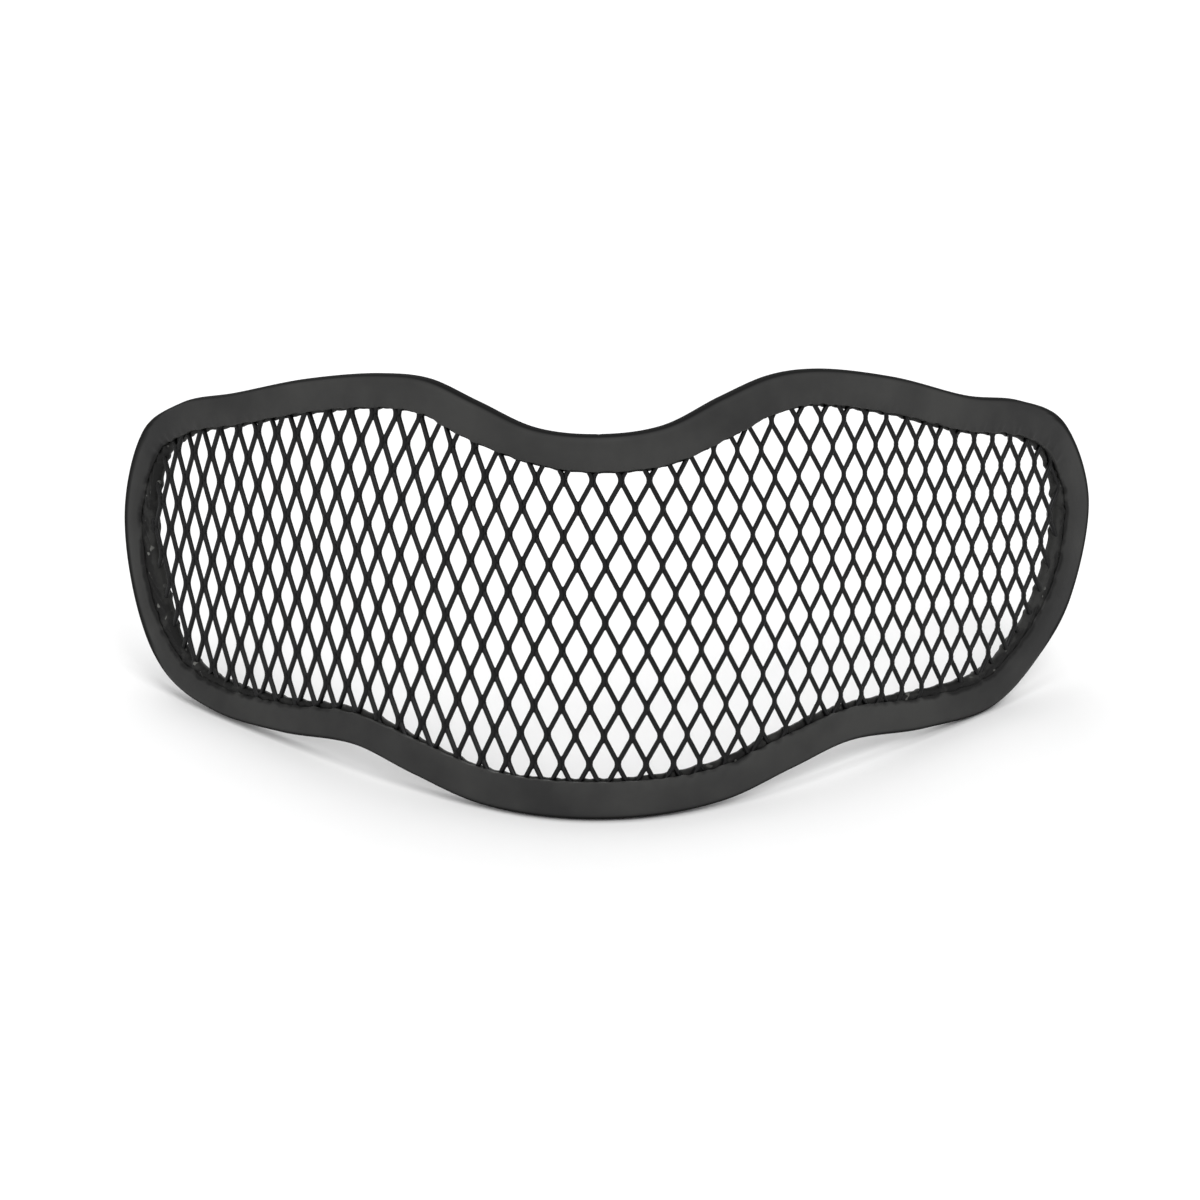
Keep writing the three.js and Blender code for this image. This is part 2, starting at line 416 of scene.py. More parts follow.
@dataclass(frozen=True)
class Stance:
    """How the upright guard is leant back and put into the frame."""

    lean: float
    shift: tuple[float, float, float] = (0.0, 0.0, 0.0)

    def leant(self, upright: np.ndarray) -> np.ndarray:
        """Turn upright places back about the x axis: y = y cos + z sin, z = z cos - y sin.

        Args:
            upright: (..., 3) upright places.

        Returns:
            The leant places, in the same unit.
        """
        x, y, z = np.moveaxis(np.asarray(upright, float), -1, 0)
        cos, sin = math.cos(self.lean), math.sin(self.lean)
        return np.stack([x, y * cos + z * sin, z * cos - y * sin], axis=-1)

    def place(self, upright: np.ndarray) -> np.ndarray:
        """Move upright places in mm into the frame, in metres."""
        return self.leant(upright) * MM + np.array(self.shift)

    @classmethod
    def of(cls, upright: np.ndarray, chin: float = 25.0, feet: float = 45.0) -> "Stance":
        """Find the stance in which the chin and both wing feet touch the floor.

        The lean is found by halving the span from 0 to 30 degrees 40 times, and the shift puts the
        middle of the leant points' box over the middle of the CAD box, with the lowest point at
        its bottom.

        Args:
            upright: (n, 3) upright places on the guard's outside, in mm.
            chin: Points nearer to the centre line than this belong to the chin, in mm.
            feet: Points further from it than this belong to the wings, in mm.

        Returns:
            The stance.
        """
        reach = np.abs(upright[:, 0])
        low, high = 0.0, math.radians(30.0)
        for _ in range(40):
            lean = (low + high) / 2
            heights = cls(lean).leant(upright)[:, 2]
            if heights[reach < chin].min() < heights[reach > feet].min():
                low = lean
            else:
                high = lean
        leant = cls(low).leant(upright) * MM
        bottom, top = leant.min(0), leant.max(0)
        floor, ceiling = (np.array(corner) for corner in CAD_BOX)
        shift = (floor + ceiling) / 2 - (bottom + top) / 2
        shift[2] = floor[2] - bottom[2]
        return cls(low, tuple(shift))


# ---- Finishes -----------------------------------------------------------------------------------


@dataclass(frozen=True)
class SatinBlackPaint:
    """Baked enamel on expanded steel: a thin dielectric film, near black, with a soft sheen.

    It gives the eye dull dark strands whose broad faces turn grey where they face the light, a faint
    orange peel, and slightly uneven gloss.
    """

    colour: str = "#09090A"
    thin_colour: str = "#101011"  # where the film is drawn thin
    ior: float = 1.5
    gloss_level: float = 0.26
    roughness: tuple[float, float] = (0.35, 0.51)  # of the glossiest and of the dullest patches
    peel_width: float = 0.35  # mm, drawn coarser than the real 0.1 mm so that it shows
    peel_height: float = 0.02  # mm
    peel_strength: float = 0.25
    patch_width: float = 5.0  # mm

    def material(self) -> bpy.types.Material:
        """Build the material.

        Returns:
            The material.
        """
        even = {"IOR": self.ior, "Specular IOR Level": self.gloss_level}
        material = new_material("satin_black_paint", even)
        tree = material.node_tree
        shader = tree.nodes["Principled BSDF"]
        place = add_node(tree, "ShaderNodeTexCoord").outputs["Object"]
        broad = {"Scale": 1 / (self.patch_width * MM), "Detail": 3.0}
        patches = add_node(tree, "ShaderNodeTexNoise", broad, {"Vector": place})
        fine = {"Scale": 1 / (self.peel_width * MM), "Detail": 1.0}
        peel = add_node(tree, "ShaderNodeTexNoise", fine, {"Vector": place})
        colour = add_node(
            tree,
            "ShaderNodeMix",
            {MIX_A: linear(self.colour), MIX_B: linear(self.thin_colour)},
            {MIX_FACTOR: patches.outputs["Fac"]},
            data_type="RGBA",
        )
        gloss = add_node(
            tree,
            "ShaderNodeMapRange",
            {"To Min": self.roughness[0], "To Max": self.roughness[1]},
            {"Value": patches.outputs["Fac"]},
        )
        relief = {"Strength": self.peel_strength, "Distance": self.peel_height * MM}
        bump = add_node(tree, "ShaderNodeBump", relief, {"Height": peel.outputs["Fac"]})
        tree.links.new(colour.outputs[MIX_RESULT], shader.inputs["Base Color"])
        tree.links.new(gloss.outputs["Result"], shader.inputs["Roughness"])
        tree.links.new(bump.outputs["Normal"], shader.inputs["Normal"])
        return material


@dataclass(frozen=True)
class BlackLeatherette:
    """Coated cloth, calendered matt black with a fine pebble: polyurethane on a knitted backing.

    It gives the eye an even charcoal band with hardly any gloss, a fine grain, soft mottling, a
    painted shade line along the outer fold, which is also made duller, and a paler cut edge where the
    backing shows. Beside the front flap's cut edge, shade is painted on the backing and on the flap's
    last millimetre in blotches that also stand for glue, with a few pale specks of painted glint and
    dried glue.
    """

    colour: str = "#2D2D2D"
    mottle: str = "#3E3E3D"
    # painted shade: darkens the fold's outer edge, where it turns away from the light
    fold_shade_colour: str = "#121212"
    backing: str = "#313130"
    cut_colour: str = "#3A3A39"
    # painted shade beside the front flap's cut edge, in blotches that also stand for glue
    glue_and_shade_colour: str = "#131313"
    # painted glints: pale specks, which also stand for dried glue
    glint_and_glue_speck_colour: str = "#6A6A67"
    ior: float = 1.45
    gloss_level: float = 0.2
    roughness: tuple[float, float] = (0.57, 0.68)  # of the glossiest and of the dullest mottles
    fold_dullness: float = 0.3  # roughness that the fold gains under its painted shade line
    relief: float = 0.03  # mm, height of the pebbles and of the fibres
    grain_width: float = 0.7  # mm, across one pebble
    grain_strength: float = 0.35
    grain_softness: float = 0.6  # how far one pebble runs into the next
    fibre_width: float = 0.25  # mm
    fibre_strength: float = 0.2
    mottle_width: float = 16.0  # mm
    shade_smear_width: float = 3.2  # mm, across one blotch of painted shade and glue
    shade_smear_depth: tuple[float, float] = (0.35, 1.6)  # of the thinnest and of the thickest blotches
    shade_smear_cover: float = 0.85  # share of the backing's colour that the thickest painted shade and glue hide
    speck_width: float = 1.4  # mm, between the pale specks of painted glint and dried glue

    # Values of the patterns at which what they do starts, and at which it is full.
    mottle_span: tuple[float, float] = (0.35, 0.65)
    gloss_span: tuple[float, float] = (0.3, 0.7)
    shade_smear_span: tuple[float, float] = (0.35, 0.65)
    glue_and_shade_span: tuple[float, float] = (0.2, 0.8)
    speck_span: tuple[float, float] = (0.735, 0.775)  # the peaks alone

    def material(self) -> bpy.types.Material:
        """Build the material, which reads the strip's own attributes.

        Returns:
            The material.
        """
        even = {"IOR": self.ior, "Specular IOR Level": self.gloss_level}
        material = new_material("black_leatherette", even)
        tree = material.node_tree
        shader = tree.nodes["Principled BSDF"]
        place = {"Vector": add_node(tree, "ShaderNodeTexCoord").outputs["Object"]}
        noises = [
            add_node(tree, "ShaderNodeTexNoise", {"Scale": 1 / (width * MM), "Detail": detail}, place)
            for width, detail in (
                (self.mottle_width, 4.0),
                (self.shade_smear_width, 3.0),
                (self.speck_width, 0.0),
                (self.fibre_width, 2.0),
            )
        ]
        clouds, blotches, glint_and_glue_drops, fluff = (noise.outputs["Fac"] for noise in noises)
        marks = [
            add_node(tree, "ShaderNodeAttribute", attribute_name=name)
            for name in ("fold", "lining", "cut", "glue_and_shade")
        ]
        fold, lining, cut, glue_and_shade = (mark.outputs["Fac"] for mark in marks)
        spans = [
            add_node(
                tree,
                "ShaderNodeMapRange",
                {"From Min": start, "From Max": full, "To Min": low, "To Max": high},
                {"Value": value},
            )
            for value, (start, full), (low, high) in (
                (clouds, self.mottle_span, (0.0, 1.0)),
                (clouds, self.gloss_span, self.roughness),
                (blotches, self.shade_smear_span, self.shade_smear_depth),
                (glint_and_glue_drops, self.speck_span, (0.0, 1.0)),
            )
        ]
        mottling, gloss, depth, pale = (span.outputs["Result"] for span in spans)
        shade_smeared = add_node(tree, "ShaderNodeMath", {}, {0: glue_and_shade, 1: depth}, operation="MULTIPLY")
        hidden = add_node(
            tree,
            "ShaderNodeMapRange",
            {"From Min": self.glue_and_shade_span[0], "From Max": self.glue_and_shade_span[1], "To Max": self.shade_smear_cover},
            {"Value": shade_smeared.outputs["Value"]},
        )
        # the lining under the painted shade and glue
        glued = add_node(tree, "ShaderNodeMath", {}, {0: lining, 1: glue_and_shade}, operation="MULTIPLY")
        # pale specks: painted glints, also dried glue
        specks = add_node(
            tree, "ShaderNodeMath", {}, {0: glued.outputs["Value"], 1: pale}, operation="MULTIPLY"
        )
        # the fold and glue layers paint shade, and the specks paint glints, into the colour
        layers = (
            (self.mottle, mottling),
            (self.fold_shade_colour, fold),
            (self.backing, lining),
            (self.cut_colour, cut),
            (self.glue_and_shade_colour, hidden.outputs["Result"]),
            (self.glint_and_glue_speck_colour, specks.outputs["Value"]),
        )
        dulled = add_node(
            tree,
            "ShaderNodeMath",
            {1: self.fold_dullness},
            {0: fold, 2: gloss},
            operation="MULTIPLY_ADD",
        )
        tree.links.new(self.layered(tree, layers), shader.inputs["Base Color"])
        tree.links.new(dulled.outputs["Value"], shader.inputs["Roughness"])
        tree.links.new(self.embossed(tree, place, fluff), shader.inputs["Normal"])
        return material

    def layered(self, tree: bpy.types.NodeTree, layers: tuple[tuple[str, Socket], ...]) -> Socket:
        """Lay colours over the strip's own, one after another.

        Args:
            tree: The material's nodes.
            layers: Colour and amount of each layer, from the lowest up.

        Returns:
            The colour that they give.
        """
        under = {}
        for colour, amount in layers:
            colours = {MIX_A: linear(self.colour), MIX_B: linear(colour)}
            links = {**under, MIX_FACTOR: amount}
            layer = add_node(tree, "ShaderNodeMix", colours, links, data_type="RGBA")
            under = {MIX_A: layer.outputs[MIX_RESULT]}
        return under[MIX_A]

    def embossed(self, tree: bpy.types.NodeTree, place: dict[str, Socket], fluff: Socket) -> Socket:
        """Relief of rounded pebbles, with the cloth's fibres over them.

        Args:
            tree: The material's nodes.
            place: The link to places on the object.
            fluff: Height of the fibres.

        Returns:
            The surface's normal.
        """
        grain = add_node(
            tree,
            "ShaderNodeTexVoronoi",
            {"Scale": 1 / (self.grain_width * MM), "Smoothness": self.grain_softness},
            place,
            feature="SMOOTH_F1",
        )
        pebbles = add_node(
            tree,
            "ShaderNodeBump",
            {"Strength": self.grain_strength, "Distance": self.relief * MM},
            {"Height": grain.outputs["Distance"]},
            invert=True,
        )
        fibres = add_node(
            tree,
            "ShaderNodeBump",
            {"Strength": self.fibre_strength, "Distance": self.relief * MM},
            {"Height": fluff, "Normal": pebbles.outputs["Normal"]},
        )
        return fibres.outputs["Normal"]


@dataclass(frozen=True)
class PaleFloor:
    """Matt white laminate: an even, nearly white floor without gloss."""

    colour: str = "#F1F1F1"
    roughness: float = 0.9
    gloss_level: float = 0.1

    def material(self) -> bpy.types.Material:
        """Build the material."""
        values = {
            "Base Color": linear(self.colour),
            "Roughness": self.roughness,
            "Specular IOR Level": self.gloss_level,
        }
        return new_material("pale_floor", values)


# ---- The pieces ---------------------------------------------------------------------------------


@dataclass(frozen=True)
class StrandSide:
    """Long side of a strand: how far it is tucked in, pushed towards its neighbour, and chamfered."""

    tuck: np.ndarray
    push: np.ndarray
    chamfer: np.ndarray


@dataclass(frozen=True)
class Draw:
    """Stretch of the net that is drawn along the sheet: how far, round which place, and its spread."""

    amount: float
    along: float
    spread: float


@dataclass
class MeshPanel:
    """Expanded steel: upright zigzag strands joined side by side at staggered bonds.

    Bonds lie at whole numbers (m, n) of the half pitches with m + n odd. Strand k runs between the
    bond columns k and k + 1: on the right half of a bond of column k, then on the left half of the
    next one of column k + 1, and so on. All strands are tilted alike about the upright axis, as the
    stretching of the slit sheet leaves them, with the left part of each bond in front. The thick
    paint makes the square strands nearly round, and fills the narrow crotches beside the bonds.
    """

    half_pitch_across: float = 2.2655
    half_pitch_up: float = 4.524
    turned: float = -1.03  # degrees that the lattice is turned on the sheet
    opening_centre: tuple[float, float] = (-1.47, 31.5)  # (along, height) of one opening
    draws: tuple[Draw, ...] = (Draw(-2.15, 28.5, 12.0), Draw(2.65, -33.5, 15.0))  # towards the nose
    draw_heights: tuple[float, float] = (42.0, 76.0)  # from no draw at all to the whole of it
    spacing: float = 0.44  # between the middles of the two strands of a bond
    strand_width: float = 0.83
    strand_thickness: float = 0.84
    bond_thickness: float = 0.72
    bond_share: float = 0.15  # way across over which the bond's thickness grows to the strand's
    tilt: float = 55.0  # degrees
    chamfer: float = 0.23
    chamfer_gap: float = 0.1  # gap beside a strand from which its chamfer is full
    bond_length: float = 0.8
    corner: float = 0.36  # half the length over which a strand turns away from its bond
    crotch: float = 0.11  # gaps up to this are filled with paint
    overlap: float = 0.01  # strands reach this much into one another beside a bond
    overlap_way: float = 0.01  # share of the way across by which they do so in full
    bearing: float = 0.24  # spread of a strand's support for a flap, in half pitches from its line
    end_inset: float = 1.92  # strands end this far inside the sheet's edge, hidden in the binding
    ring_heights: tuple[float, ...] = (0.04, 0.42, 0.78, 0.98, 1.22)  # rings above a bond's middle
    columns: int = 48  # bond columns on each side of the centre
    rows: int = 9  # bond rows above and below the centre
    weld: float = 0.0005  # points nearer to each other than this are joined

    def drawn(self, along: np.ndarray, height: np.ndarray) -> np.ndarray:
        """How far the net is drawn to the right: for each draw, a bell along times a step upwards."""
        bells = sum(draw.amount * bell(along - draw.along, draw.spread) for draw in self.draws)
        return bells * ease(height, self.draw_heights)

    def lattice(self, along: np.ndarray, height: np.ndarray) -> tuple[np.ndarray, np.ndarray]:
        """Lattice coordinates of places on the flat sheet, in half pitches across and up.

        Where a place lay before the net was drawn is found in three rounds.

        Args:
            along: Distances along the sheet, in mm.
            height: Heights, in mm.

        Returns:
            The coordinates across and up.
        """
        cos, sin = math.cos(math.radians(self.turned)), math.sin(math.radians(self.turned))
        even = along
        for _ in range(3):
            even = along - self.drawn(even, height)
        right, up = even - self.opening_centre[0], height - self.opening_centre[1]
        across = (right * cos + up * sin) / self.half_pitch_across
        return across, (up * cos - right * sin) / self.half_pitch_up

    def on_sheet(self, across: np.ndarray, up: np.ndarray) -> tuple[np.ndarray, np.ndarray]:
        """Places on the flat sheet of distances along the lattice's own axes.

        Args:
            across: Distances from the opening's centre along the axis across, in mm.
            up: Distances along the axis upwards, in mm.

        Returns:
            Distances along the sheet, and heights, in mm.
        """
        cos, sin = math.cos(math.radians(self.turned)), math.sin(math.radians(self.turned))
        along = self.opening_centre[0] + across * cos - up * sin
        height = self.opening_centre[1] + across * sin + up * cos
        return along + self.drawn(along, height), height

    def support(self, along: np.ndarray, height: np.ndarray) -> np.ndarray:
        """How nearly places of the sheet lie on a strand.

        Strands lie where across + up or across - up, in half pitches, is an odd number, and the
        support is a bell over the distance from the nearest one.

        Args:
            along: Distances along the sheet, in mm.
            height: Heights, in mm.

        Returns:
            The support at each place, from 0 to 1.
        """
        across, up = self.lattice(along, height)
        leaning = [line - (2 * np.round((line - 1) / 2) + 1) for line in (across + up, across - up)]
        return np.maximum(*(bell(gap, self.bearing) for gap in leaning))

    def ring_places(self) -> tuple[np.ndarray, np.ndarray]:
        """Rings of one strand between two bond rows, and its way across at each.

        With b half the bond's length and e the corner, as shares of the half pitch, the way is
        (r(f - b) - r(f - 1 + b)) / (1 - 2 b), where r(x) is 0 up to -e, (x + e)^2 / 4e up to e, and
        x beyond: straight in the bond, a soft corner, and straight to the next bond.

        Returns:
            The rings' shares of the half pitch, and the way across from 0 to 1.
        """
        bond = self.bond_length / 2 / self.half_pitch_up
        soft = self.corner / self.half_pitch_up
        near = np.array(self.ring_heights) / self.half_pitch_up
        shares = np.concatenate([near, 1.0 - near[::-1]])

        def ramp(x: np.ndarray) -> np.ndarray:
            """0, then a parabola over the corner, then x."""
            return np.where(x < -soft, 0.0, np.where(x > soft, x, (x + soft) ** 2 / (4 * soft)))

        way = (ramp(shares - bond) - ramp(shares - 1 + bond)) / (1 - 2 * bond)
        return shares, np.clip(np.round(way, 9), 0.0, 1.0)

    def strand_side(self, way: np.ndarray) -> StrandSide:
        """Shape of the long side that faces a bond column, ring by ring.

        Left to itself the side would lie at n = way (pitch - spacing cos) - (width - spacing) cos / 2
        across from the middle of the bonds. Where n is below 0 it is tucked in to 0 along the tilted
        width. Where n is above 0 the painted gap is n ease((n - crotch) / 2 crotch), so that narrow
        gaps are filled, and the side is pushed towards its neighbour by the rest.

        Args:
            way: The way across, 0 at the bond column that the side faces.

        Returns:
            The side's shape.
        """
        cos = math.cos(math.radians(self.tilt))
        natural = way * (self.half_pitch_across - self.spacing * cos)
        natural = natural - (self.strand_width - self.spacing) / 2 * cos
        ahead = np.maximum(natural, 0.0)
        gap = ahead * ease(ahead, (self.crotch, 3 * self.crotch))
        touching = self.overlap * np.clip(way / self.overlap_way, 0.0, 1.0)
        chamfer = self.chamfer * np.clip(gap / self.chamfer_gap, 0.0, 1.0)
        return StrandSide(np.maximum(-natural, 0.0) / cos, ahead - gap + touching, chamfer)

    def net(self, sheet: GuardSheet) -> tuple[np.ndarray, list]:
        """Points and faces of all strands.

        A ring has 8 corners: a square bar with wide chamfers. Its middle lies at (k + g) pitch, and
        (1 - 2 g) spacing / 2 along the tilted width, where g is the way across. Faces inside a bond,
        between two strands, are left out, so that the bond is one plate.

        Args:
            sheet: The sheet that the net is cut from.

        Returns:
            (n, 3) upright points in mm, and the faces' vertex numbers.
        """
        shares, way = self.ring_places()
        strand = np.arange(-self.columns, self.columns)
        row = np.arange(-self.rows, self.rows)
        leaves_left = (strand[:, None] + row) % 2 == 1
        g = np.where(leaves_left[..., None], way, 1.0 - way).reshape(len(strand), -1)
        up = ((row[:, None] + shares) * self.half_pitch_up).ravel()
        cos, sin = math.cos(math.radians(self.tilt)), math.sin(math.radians(self.tilt))
        sway = (1.0 - 2.0 * g) * self.spacing / 2
        across = (strand[:, None] + g) * self.half_pitch_across + sway * cos
        along, height = self.on_sheet(across, up)
        inside = sheet.contains(np.stack([along, height], axis=-1), self.end_inset)
        kept = inside[:, :-1] & inside[:, 1:]

        left, right = self.strand_side(g), self.strand_side(1.0 - g)
        half_w = self.strand_width / 2
        thicker = ease(np.minimum(g, 1.0 - g), (0.0, self.bond_share))
        half_t = between(self.bond_thickness, self.strand_thickness, thicker) / 2
        far_right, far_left = half_w - right.tuck, left.tuck - half_w
        flat_right, flat_left = far_right - right.chamfer, far_left + left.chamfer
        thin_right, thin_left = half_t - right.chamfer, half_t - left.chamfer
        wide = np.stack([far_right, far_right, flat_right, flat_left,
                         far_left, far_left, flat_left, flat_right], axis=-1)
        thick = np.stack([-thin_right, thin_right, half_t, half_t,
                          thin_left, -thin_left, -half_t, -half_t], axis=-1)
        push = np.stack([right.push] * 3 + [-left.push] * 4 + [right.push], axis=-1)
        spread = across[..., None] + wide * cos + thick * sin + push
        out = thick * cos - (wide + sway[..., None]) * sin
        points = sheet.bent(*self.on_sheet(spread, up[:, None]), out)
        return points.reshape(-1, 3), self.faces(g, kept)

    def faces(self, g: np.ndarray, kept: np.ndarray) -> list:
        """Sides and end caps of the strands.

        Args:
            g: (strands, rings) way across from the strand's left bond column to its right one.
            kept: (strands, rings - 1) whether the stretch above each ring is there.

        Returns:
            The faces' vertex numbers.
        """
        corners = 8
        strands, rings = g.shape
        number = np.arange(strands * rings * corners).reshape(strands, rings, corners)
        nothing = np.zeros((1, rings - 1), bool)
        neighbour_left = np.vstack([nothing, kept[:-1]])
        neighbour_right = np.vstack([kept[1:], nothing])
        at_left = (g[:, :-1] == 0) & (g[:, 1:] == 0) & neighbour_left
        at_right = (g[:, :-1] == 1) & (g[:, 1:] == 1) & neighbour_right
        faces = []
        for corner in range(corners):
            ahead = (corner + 1) % corners
            hidden = {0: at_right, 4: at_left}.get(corner, np.zeros(kept.shape, bool))
            here, above = number[:, :-1], number[:, 1:]
            sides = [here[..., corner], here[..., ahead], above[..., ahead], above[..., corner]]
            faces += np.stack(sides, axis=-1)[kept & ~hidden].tolist()
        gap = np.zeros((strands, 1), bool)
        below = np.hstack([gap, kept])
        above = np.hstack([kept, gap])
        faces += number[above & ~below][:, ::-1].tolist()
        faces += number[below & ~above].tolist()
        return faces

    def build(self, sheet: GuardSheet, stance: Stance, paint: SatinBlackPaint) -> bpy.types.Object:
        """Make the piece, dress it, and let it stand for the CAD panel.

        Args:
            sheet: The sheet that the net is cut from.
            stance: The guard's stance.
            paint: Its finish.

        Returns:
            The finished piece.
        """
        points, faces = self.net(sheet)
        piece = new_object("expanded_steel_mesh", stance.place(points), faces)
        close_up(piece.data, self.weld * MM)
        piece.data.materials.append(paint.material())
        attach(piece, "root")
        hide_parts("mesh_panel")
        return piece


@dataclass(frozen=True)
class Flap:
    """Flap of the strip: its usual reach from the fold, and the ragged wave of its cut edge."""

    reach: float
    ragged: Wave


@dataclass
class StripSection:
    """Closed section of the strip, point by point: its shape in mm and what each point belongs to.

    "inset" is the distance in from the sheet's edge, "lining" tells the inner side from the skin,
    and "reach" is the usual reach of the point's own flap.
    """

    inset: np.ndarray
    out: np.ndarray
    lining: np.ndarray
    reach: np.ndarray


@dataclass
class LaidStrip:
    """The strip's section laid round the edge: a row for each station, a column for each point.

    "inward" goes from 0 at the fold to 1 at the cut edge, and "ground" is the place on the flat
    sheet. "beyond" is how far in from the front flap's cut edge it lies, and "short" how far out
    from the back flap's. "held" is how nearly a strand is under it. "wide" is how fully the back
    flap shows beyond the front one, "at_end" tells the wing ends, and "nick" the joint.
    """

    form: StripSection
    edge: EdgeStations
    inward: np.ndarray
    inset: np.ndarray
    ground: np.ndarray
    beyond: np.ndarray
    short: np.ndarray
    held: np.ndarray
    wide: np.ndarray
    at_end: np.ndarray
    nick: np.ndarray


@dataclass
class EdgeBinding:
    """Leatherette strip folded over the panel's edge and glued down, its ends butted at the notch.

    A pair is where something starts and where it is full, unless its comment says otherwise.
    """

    front: Flap = Flap(5.6, Wave(0.03, 1.6, 9.0, 3))
    back: Flap = Flap(6.0, Wave(0.03, 1.6, 9.0, 11))
    half_thickness: float = 1.35
    wall: float = 0.69
    stations: int = 1500
    fold_points: int = 13
    channel_points: int = 7
    weld: float = 0.0001  # points nearer to each other than this are joined

    # The flaps, which the net's strands hold up and the glue pulls down.
    fillet: float = 0.25  # a flap reaches this much further along a strand
    fillet_ahead: float = 0.2  # that runs this far in from its cut edge
    fillet_stations: tuple[int, ...] = (-2, -1, 0, 1, 2)  # over which that is averaged
    dome: float = 0.08  # the flaps stand this much proud between fold and cut edge
    swell: Wave = Wave(0.035, 5.0, 22.0, 5)  # and rise and fall along the strip
    sink: float = 0.2  # the cut edge is pressed this far in between two strands
    sink_share: tuple[float, float] = (0.62, 1.0)  # of a flap's width
    mouth: float = 0.6  # and the lining below it this far, so that the flaps seal the openings
    mouth_share: tuple[float, float] = (0.45, 0.8)
    tight: tuple[float, float] = (0.03, 0.07)  # curvature of the edge, 1/mm, at which the strip gathers
    tight_stations: int = 6  # on each side, over which the curvature is taken
    gather: Wave = Wave(0.08, 2.6, 5.5, 8)
    gather_depth: float = 0.016  # the gathers' hollows are no deeper than this

    # The back flap's glued lining, which shows where that flap reaches much further than the front one.
    cover_gap: tuple[float, float] = (0.5, 1.3)  # this much further
    cover: tuple[float, float] = (1.26, 1.38)  # it rises this far through the net, and at the wing ends
    cover_front: tuple[float, float] = (-0.7, -0.2)  # measured in from the front flap's cut edge
    cover_back: tuple[float, float] = (0.0, 0.5)  # and out from its own
    rough: Wave = Wave(0.06, 1.2, 3.5, 21)
    rough_slant: float = 2.3  # run along the strip of a rough wave for each mm inwards
    feathered: float = 0.3  # the front flap's cut edge is pressed this far towards it
    bedded: float = 0.13  # with its own lining sunk this far into the glue
    shade_smear: tuple[float, float] = (1.2, 2.7)  # width of the painted shade and glue beside the front flap, right and left
    shade_smear_fade: tuple[float, float] = (1.5, 0.5)  # measured in such widths
    shade_smudge: float = 0.9  # width of the painted shade and glue on the flap itself

    # The wing ends, and the painted shade along the fold, which reaches further in there than elsewhere.
    wing_end: tuple[float, float] = (88.0, 96.0)  # distance from the centre line
    end_bulge: float = 0.2  # the strip is this much thicker there, on each side
    end_stretch: tuple[float, float] = (0.0, 0.25)  # and its fold this much further out, right and left
    fold_shade_reach: tuple[float, float] = (0.45, 1.45)  # how far in the shade painted along the fold reaches, and how far at the ends
    fold_shade_fade: tuple[float, float] = (0.35, -0.05)  # measured in from there
    cut_width: float = 0.1  # of the pale cut edge

    # The joint, where the two ends of the strip meet.
    joint_width: float = 0.3
    joint_round: float = 0.5  # the nick reaches this far round the fold
    joint_nick: float = 0.06  # and this deep into it
    joint_dip: float = 0.02  # and the skin dips this much there

    def section(self) -> StripSection:
        """The strip's section before it is dressed.

        From the front flap's cut edge over its skin, round the fold, a half circle of the half
        thickness, over the back flap's skin, and back through the channel.

        Returns:
            The section's points in order.
        """
        skin, channel = self.half_thickness, self.half_thickness - self.wall
        flap = np.array([0.0, 0.06, 0.2, 0.5, 1.0, 1.6, 2.3, 3.1, 3.85])  # from the cut edge outwards
        drop = np.array([0.36, 0.27, 0.19, 0.1, 0.04, 0.01, 0.0, 0.0, 0.0])  # below the skin's level
        turn = np.radians(np.linspace(90, -90, self.fold_points))
        inner_turn = np.radians(np.linspace(-90, 90, self.channel_points))
        back_inner = np.array([0.0, 0.2, 0.4, 0.6, 0.8, 1.0, 1.25, 1.5, 1.8, 2.2, 3.2])
        front_inner = np.array([3.2, 2.2, 1.2, 0.5, 0.0])
        inset = np.concatenate([
            self.front.reach - flap, skin - skin * np.cos(turn), (self.back.reach - flap)[::-1],
            self.back.reach - back_inner, self.wall + channel - channel * np.cos(inner_turn),
            self.front.reach - front_inner,
        ])
        out = np.concatenate([
            skin - drop, skin * np.sin(turn), (drop - skin)[::-1],
            np.full(len(back_inner), -channel), channel * np.sin(inner_turn),
            np.full(len(front_inner), channel),
        ])
        skins = 2 * len(flap) + len(turn)
        lining = np.arange(len(inset)) >= skins
        reach = np.where(out > 0, self.front.reach, self.back.reach)
        return StripSection(inset, out, lining, reach)

    def gathers(self, edge: EdgeStations) -> np.ndarray:
        """How much the strip gathers at each station, from 0 to 1.

        It does where the edge turns tightly towards the sheet. With N the direction into the sheet
        and T the direction of travel, the curvature is -(dN / ds) . T.

        Args:
            edge: The stations.

        Returns:
            The gathers' share.
        """
        inward, apart = edge.inward, self.tight_stations
        travel = np.stack([-inward[:, 1], inward[:, 0]], axis=1)
        turned = np.roll(inward, -apart, 0) - np.roll(inward, apart, 0)
        run = 2 * apart * edge.length / self.stations
        return ease(-(turned * travel).sum(1) / run, self.tight)

    def grown(
        self, flap: Flap, further: np.ndarray, edge: EdgeStations, panel: MeshPanel
    ) -> np.ndarray:
        """How much further than usual a flap reaches at each station.

        It is what the edge says, a ragged wave, and the fillet where a strand runs under the flap.

        Args:
            flap: The flap.
            further: Its further reach as the edge says.
            edge: The stations.
            panel: The net under the flap.

        Returns:
            (stations, 1) further reach in mm.
        """
        line = edge.places + (flap.reach + further + self.fillet_ahead)[:, None] * edge.inward
        strands = panel.support(line[:, 0], line[:, 1])
        strands = sum(np.roll(strands, shift, 0) for shift in self.fillet_stations)
        fillets = self.fillet * strands / len(self.fillet_stations)
        return (fillets + flap.ragged.at(edge.travelled, edge.length) + further)[:, None]

